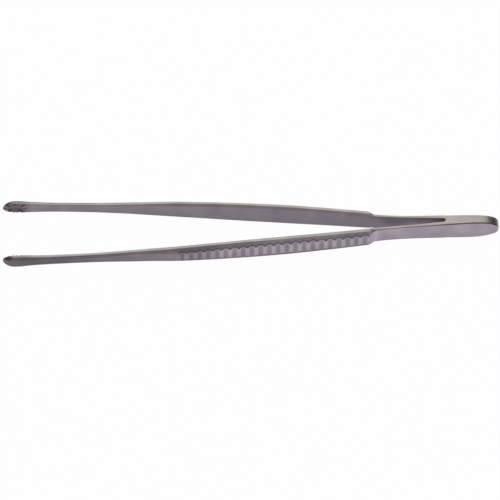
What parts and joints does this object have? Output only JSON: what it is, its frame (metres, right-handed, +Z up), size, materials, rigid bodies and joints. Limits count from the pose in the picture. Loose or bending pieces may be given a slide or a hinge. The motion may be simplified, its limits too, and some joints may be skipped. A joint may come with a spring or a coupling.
{
  "type": "thumb forceps",
  "caption": "Tissue thumb forceps: two sprung arms welded at a flat heel, with fluted grips and round cupped tips with teeth round the rim.",
  "frame": {"origin": "on the table under the middle of the length, midway between the two arms", "axes": "+X from the tips to the heel, +Y across the two arms, +Z up through the width of the arms"},
  "size_m": [0.2, 0.0324, 0.0094],
  "materials": {
    "steel": "satin, finely brushed lengthwise"
  },
  "bodies": {
    "root": {"forceps": "steel"}
  },
  "joints": []
}
